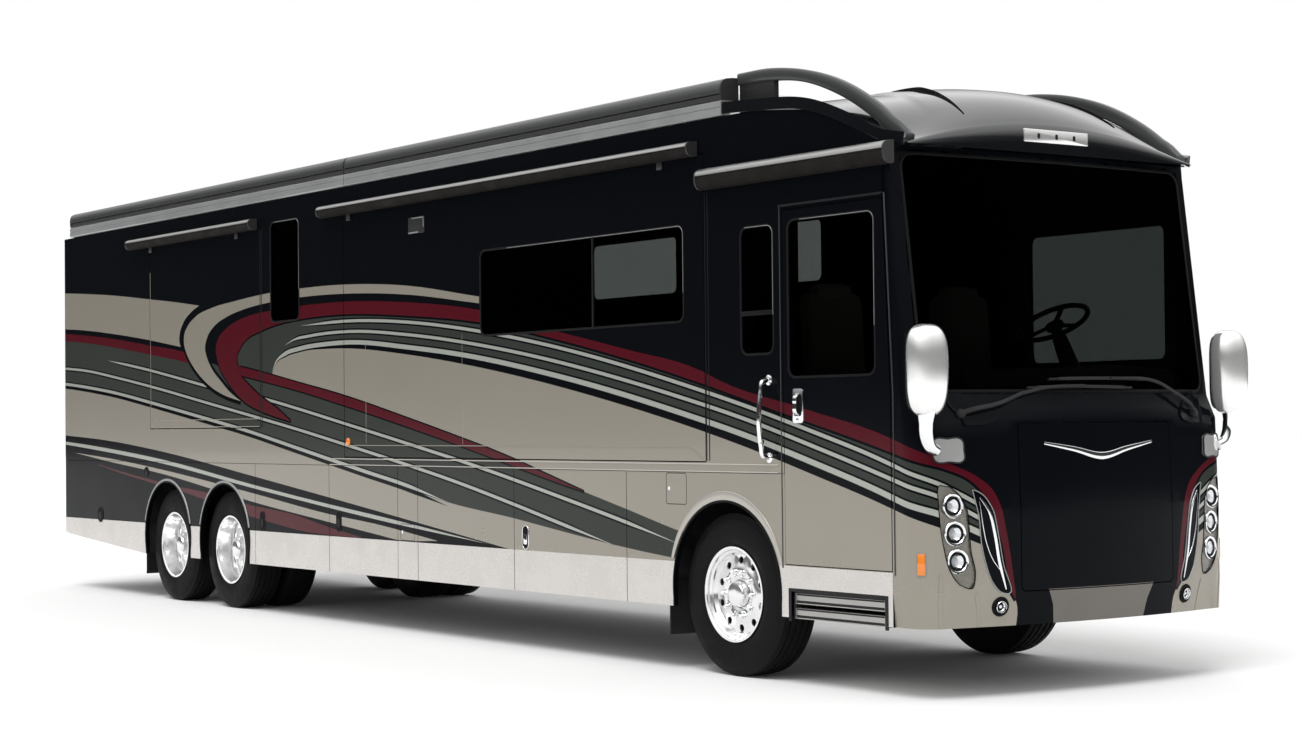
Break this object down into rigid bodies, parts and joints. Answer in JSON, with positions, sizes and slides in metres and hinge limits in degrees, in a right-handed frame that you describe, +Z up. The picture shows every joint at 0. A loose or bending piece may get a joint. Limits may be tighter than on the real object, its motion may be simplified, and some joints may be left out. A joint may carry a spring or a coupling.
{
  "type": "motorhome",
  "caption": "Full-length tag-axle motorhome with slide-out rooms, side entry door, luggage bays, roof awnings and turning wheels.",
  "frame": {"origin": "on the ground, under the middle of the whole coach's box", "axes": "+X forward, +Y to the coach's left, +Z up"},
  "size_m": [13.5, 2.804, 3.925],
  "materials": {
    "body_paint": "gloss",
    "roof_white": "satin",
    "trim_charcoal": "satin",
    "topper_aluminium": "satin",
    "trim_black": "matte",
    "tinted_glass": "gloss",
    "lamp_chrome": "polished",
    "mirror_chrome": "polished",
    "chassis_black": "matte",
    "engine_grey": "matte",
    "black_rubber": "matte",
    "tyre": "matte",
    "polished_wheel": "polished",
    "seat_leather": "satin",
    "step_black": "satin"
  },
  "bodies": {
    "coach": {"chassis_frame": "chassis_black", "front_axle": "chassis_black", "rear_axles": "chassis_black", "engine_block": "engine_grey", "hitch_receiver": "chassis_black", "floor_deck": "chassis_black", "basement": "chassis_black", "mud_flaps": "black_rubber", "lower_panels_right": "body_paint", "lower_panels_left": "body_paint", "right_wall": "body_paint", "left_wall": "body_paint", "coach_glass": "tinted_glass", "roof": "roof_white", "roof_brow": "body_paint", "awning_cases": "trim_charcoal", "air_conditioners": "trim_black", "roof_rails": "trim_charcoal", "front_cap": "body_paint", "headlights": "lamp_chrome", "rear_cap": "body_paint", "mirrors": "mirror_chrome", "dashboard": "trim_black", "cab_seats": "seat_leather"},
    "front_wheel_left": {"front_tyre_left": "tyre", "front_rim_left": "polished_wheel"},
    "drive_wheels_left": {"drive_tyres_left": "tyre", "drive_rims_left": "polished_wheel"},
    "tag_wheel_left": {"tag_tyre_left": "tyre", "tag_rim_left": "polished_wheel"},
    "knuckle_left": {"knuckle_left": "chassis_black"},
    "front_wheel_right": {"front_tyre_right": "tyre", "front_rim_right": "polished_wheel"},
    "drive_wheels_right": {"drive_tyres_right": "tyre", "drive_rims_right": "polished_wheel"},
    "tag_wheel_right": {"tag_tyre_right": "tyre", "tag_rim_right": "polished_wheel"},
    "knuckle_right": {"knuckle_right": "chassis_black"},
    "bay_door_right_1": {"bay_door_right_1": "body_paint"},
    "bay_door_right_2": {"bay_door_right_2": "body_paint"},
    "bay_door_right_3": {"bay_door_right_3": "body_paint"},
    "bay_door_right_4": {"bay_door_right_4": "body_paint"},
    "bay_door_left_1": {"bay_door_left_1": "body_paint"},
    "bay_door_left_2": {"bay_door_left_2": "body_paint"},
    "entry_door": {"entry_door": "body_paint", "entry_door_glass": "tinted_glass"},
    "slide_out_main": {"slide_out_main": "body_paint", "slide_out_main_glass": "tinted_glass", "topper_main": "topper_aluminium"},
    "slide_out_bed": {"slide_out_bed": "body_paint", "topper_bed": "topper_aluminium"},
    "slide_out_lounge": {"slide_out_lounge": "body_paint", "slide_out_lounge_glass": "tinted_glass", "topper_lounge": "topper_aluminium"},
    "front_hood": {"front_hood": "body_paint"},
    "engine_door": {"engine_door": "body_paint"},
    "step_upper": {"step_upper": "step_black"},
    "step_lower": {"step_lower": "step_black"},
    "steering_wheel": {"steering_wheel": "trim_black"}
  },
  "joints": [
    {"name": "steer_left", "type": "hinge", "parent": "coach", "child": "knuckle_left", "pos_m": [4.703, 0.86, 0.522], "axis": [0, 0, 1], "range_deg": [-45, 45]},
    {"name": "spin_front_left", "type": "hinge", "parent": "knuckle_left", "child": "front_wheel_left", "pos_m": [4.703, 1.085, 0.522], "axis": [0, 1, 0], "continuous": true},
    {"name": "spin_drive_left", "type": "hinge", "parent": "coach", "child": "drive_wheels_left", "pos_m": [-2.77, 1.085, 0.522], "axis": [0, 1, 0], "continuous": true},
    {"name": "spin_tag_left", "type": "hinge", "parent": "coach", "child": "tag_wheel_left", "pos_m": [-3.99, 1.085, 0.522], "axis": [0, 1, 0], "continuous": true},
    {"name": "steer_right", "type": "hinge", "parent": "coach", "child": "knuckle_right", "pos_m": [4.703, -0.86, 0.522], "axis": [0, 0, 1], "range_deg": [-45, 45]},
    {"name": "spin_front_right", "type": "hinge", "parent": "knuckle_right", "child": "front_wheel_right", "pos_m": [4.703, -1.085, 0.522], "axis": [0, 1, 0], "continuous": true},
    {"name": "spin_drive_right", "type": "hinge", "parent": "coach", "child": "drive_wheels_right", "pos_m": [-2.77, -1.085, 0.522], "axis": [0, 1, 0], "continuous": true},
    {"name": "spin_tag_right", "type": "hinge", "parent": "coach", "child": "tag_wheel_right", "pos_m": [-3.99, -1.085, 0.522], "axis": [0, 1, 0], "continuous": true},
    {"name": "steering_wheel_turn", "type": "hinge", "parent": "coach", "child": "steering_wheel", "pos_m": [5.75, 0.6, 2.24], "axis": [-0.454, 0, 0.891], "range_deg": [-720, 720]},
    {"name": "bay_hinge_right_1", "type": "hinge", "parent": "coach", "child": "bay_door_right_1", "pos_m": [-0.741, -1.285, 0.86], "axis": [0, 0, 1], "range_deg": [0, 90]},
    {"name": "bay_hinge_right_2", "type": "hinge", "parent": "coach", "child": "bay_door_right_2", "pos_m": [0.422, -1.285, 0.86], "axis": [0, 0, 1], "range_deg": [0, 90]},
    {"name": "bay_hinge_right_3", "type": "hinge", "parent": "coach", "child": "bay_door_right_3", "pos_m": [2.154, -1.285, 0.86], "axis": [0, 0, 1], "range_deg": [0, 90]},
    {"name": "bay_hinge_right_4", "type": "hinge", "parent": "coach", "child": "bay_door_right_4", "pos_m": [3.594, -1.285, 0.86], "axis": [0, 0, 1], "range_deg": [0, 90]},
    {"name": "bay_hinge_left_1", "type": "hinge", "parent": "coach", "child": "bay_door_left_1", "pos_m": [2.154, 1.285, 0.86], "axis": [0, 0, -1], "range_deg": [0, 90]},
    {"name": "bay_hinge_left_2", "type": "hinge", "parent": "coach", "child": "bay_door_left_2", "pos_m": [3.594, 1.285, 0.86], "axis": [0, 0, -1], "range_deg": [0, 90]},
    {"name": "entry_door_hinge", "type": "hinge", "parent": "coach", "child": "entry_door", "pos_m": [6.31, -1.285, 1.8], "axis": [0, 0, 1], "range_deg": [0, 85]},
    {"name": "slide_main_travel", "type": "slide", "parent": "coach", "child": "slide_out_main", "axis": [0, -1, 0], "range_m": [0, 0.7]},
    {"name": "slide_bed_travel", "type": "slide", "parent": "coach", "child": "slide_out_bed", "axis": [0, -1, 0], "range_m": [0, 0.54]},
    {"name": "slide_lounge_travel", "type": "slide", "parent": "coach", "child": "slide_out_lounge", "axis": [0, 1, 0], "range_m": [0, 0.7]},
    {"name": "hood_hinge", "type": "hinge", "parent": "coach", "child": "front_hood", "pos_m": [6.75, 0, 1.594], "axis": [0, -1, 0], "range_deg": [0, 75]},
    {"name": "engine_door_hinge", "type": "hinge", "parent": "coach", "child": "engine_door", "pos_m": [-6.75, 0, 1.754], "axis": [0, 1, 0], "range_deg": [0, 75]},
    {"name": "step_upper_travel", "type": "slide", "parent": "coach", "child": "step_upper", "axis": [0, -1, 0], "range_m": [0, 0.16]},
    {"name": "step_lower_travel", "type": "slide", "parent": "coach", "child": "step_lower", "axis": [0, -1, 0], "range_m": [0, 0.32]}
  ],
  "couplings": [
    {"joint": "steer_right", "follows": "steer_left", "ratio": 1},
    {"joint": "steering_wheel_turn", "follows": "steer_left", "ratio": 16},
    {"joint": "step_lower_travel", "follows": "step_upper_travel", "ratio": 2}
  ]
}
